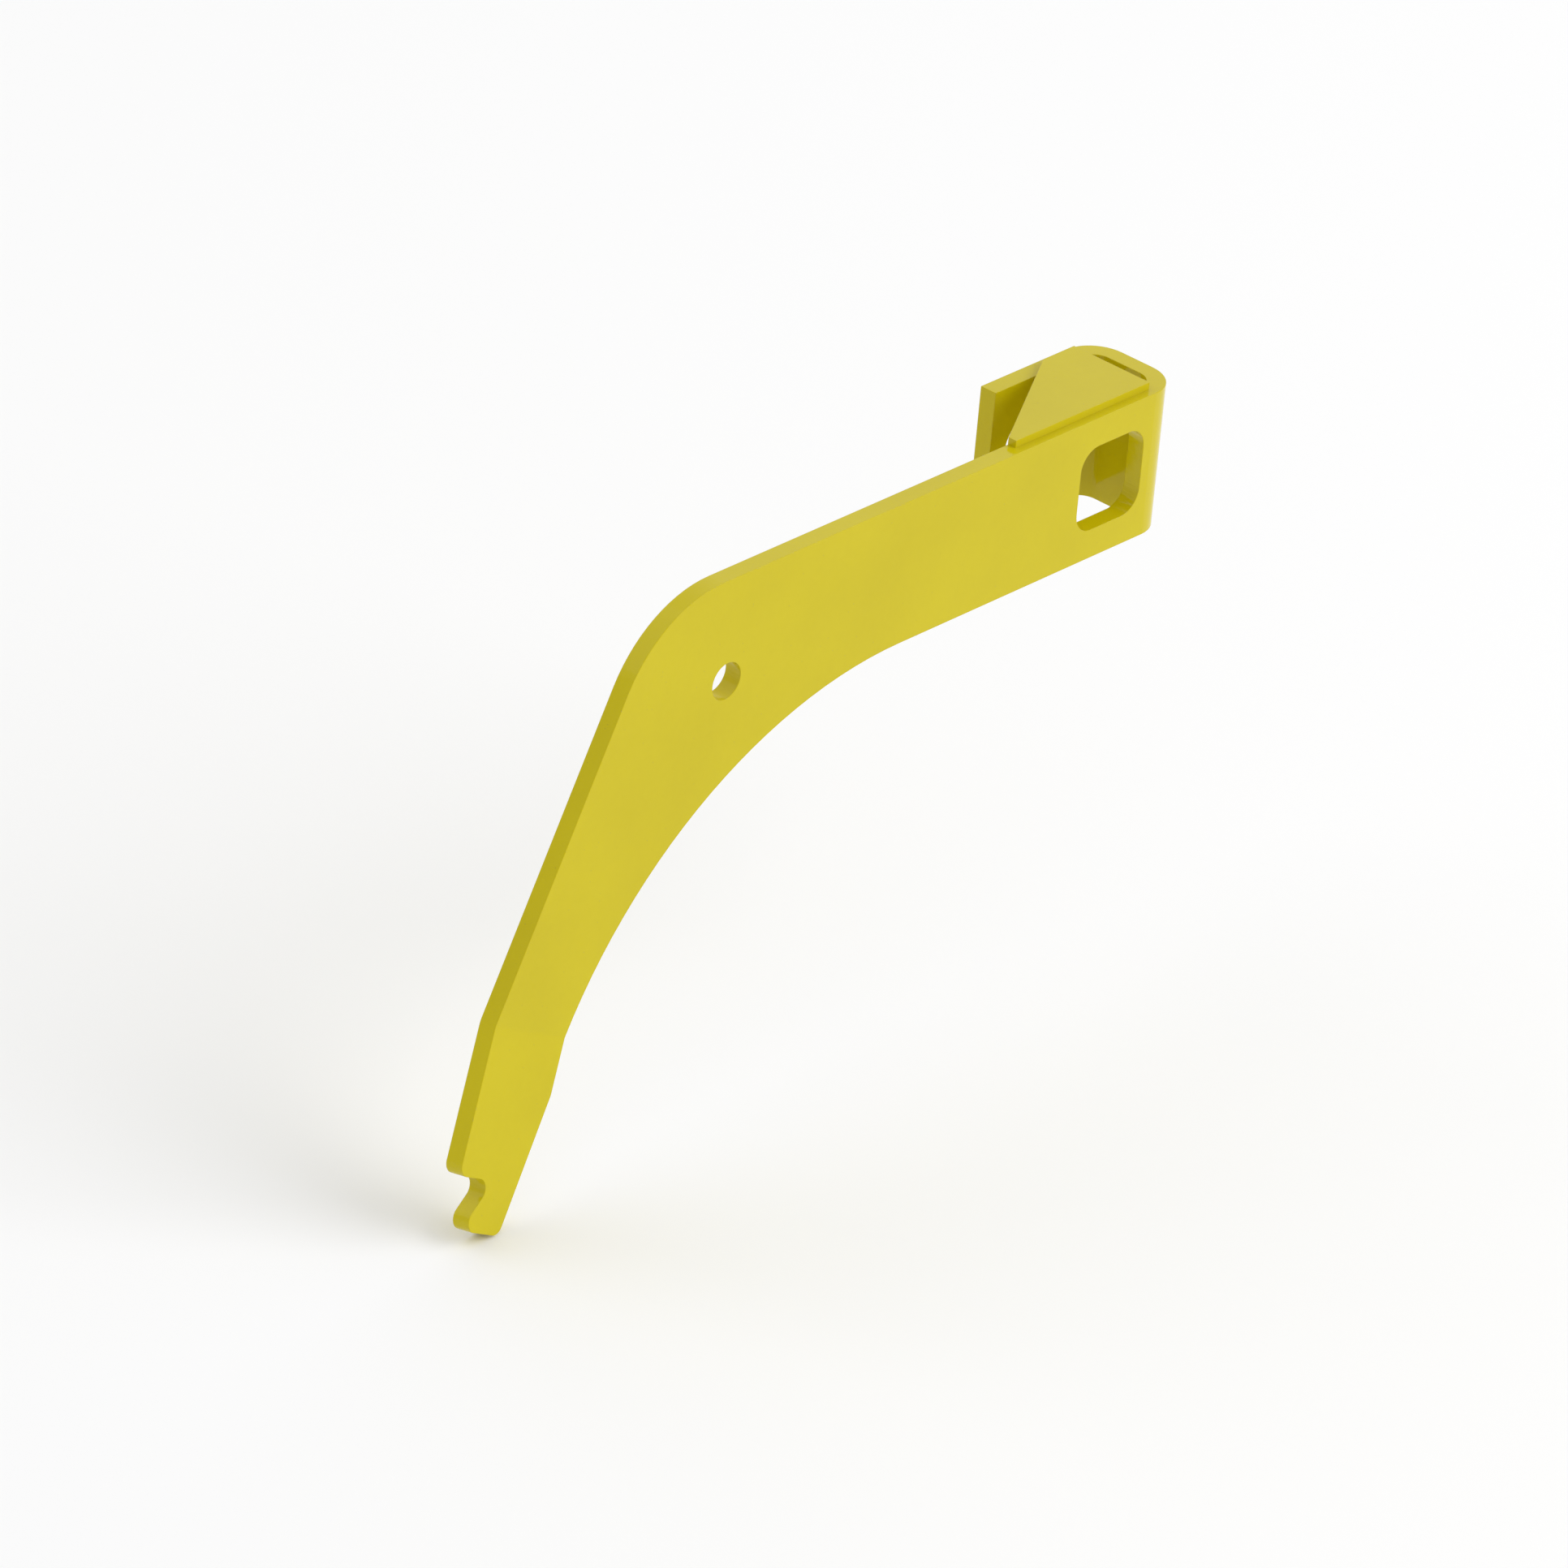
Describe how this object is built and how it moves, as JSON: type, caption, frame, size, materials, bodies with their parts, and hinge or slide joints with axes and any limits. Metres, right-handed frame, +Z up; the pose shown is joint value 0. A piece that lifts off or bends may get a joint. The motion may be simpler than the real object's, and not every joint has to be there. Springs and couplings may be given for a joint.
{
  "type": "folded plate lever arm",
  "caption": "Lever arm cut and folded from one thick painted steel plate: pivot bore at the elbow, hooked toe, and a U-folded windowed end under a welded cap plate.",
  "frame": {"origin": "on the pivot bore's axis, in the outer face of the arm's plate", "axes": "+X along the straight arm towards its folded end, +Y through the plate towards the return flange, +Z up, square to the straight arm, with the hooked toe hanging down and bent 10 degrees towards -Y"},
  "size_m": [0.509, 0.0781, 0.3078],
  "materials": {
    "yellow_paint": "gloss yellow paint over steel",
    "cap_paint": "gloss yellow paint over steel",
    "weld_paint": "gloss yellow paint over a rippled weld bead"
  },
  "bodies": {
    "root": {"arm_plate": "yellow_paint", "cap_plate": "cap_paint", "weld_bead_front": "weld_paint", "weld_bead_rear": "weld_paint"}
  },
  "joints": []
}
